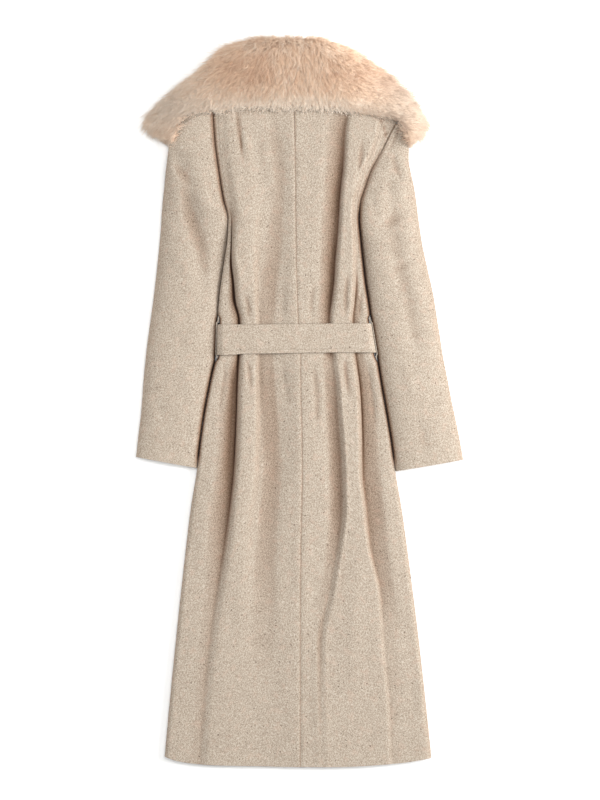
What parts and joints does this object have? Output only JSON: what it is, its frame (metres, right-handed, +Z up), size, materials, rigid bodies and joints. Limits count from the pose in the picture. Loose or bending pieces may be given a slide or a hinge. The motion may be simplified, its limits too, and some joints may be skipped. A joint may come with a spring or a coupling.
{
  "type": "long belted wool coat with a fur collar, laid flat with its back up",
  "caption": "Long flecked beige wool wrap coat with a broad peach fur collar and a tie belt, laid face down and flat.",
  "frame": {"origin": "centre of the coat's box seen from above, on the surface that it lies on", "axes": "+Z up out of the surface, +Y from the hem towards the collar, +X towards the wearer's right side"},
  "size_m": [0.575, 1.2839, 0.0459],
  "materials": {
    "wool": "matte",
    "wool_belt": "matte",
    "fur": "matte"
  },
  "bodies": {
    "root": {"back_left": "wool", "back_right": "wool", "front_left": "wool", "front_right": "wool", "sleeve_left_upper": "wool", "sleeve_left_under": "wool", "sleeve_right_upper": "wool", "sleeve_right_under": "wool", "collar_fall": "fur", "collar_lapel_left": "fur", "collar_lapel_right": "fur", "belt": "wool_belt", "belt_loop_left": "wool_belt", "belt_loop_right": "wool_belt"}
  },
  "joints": []
}
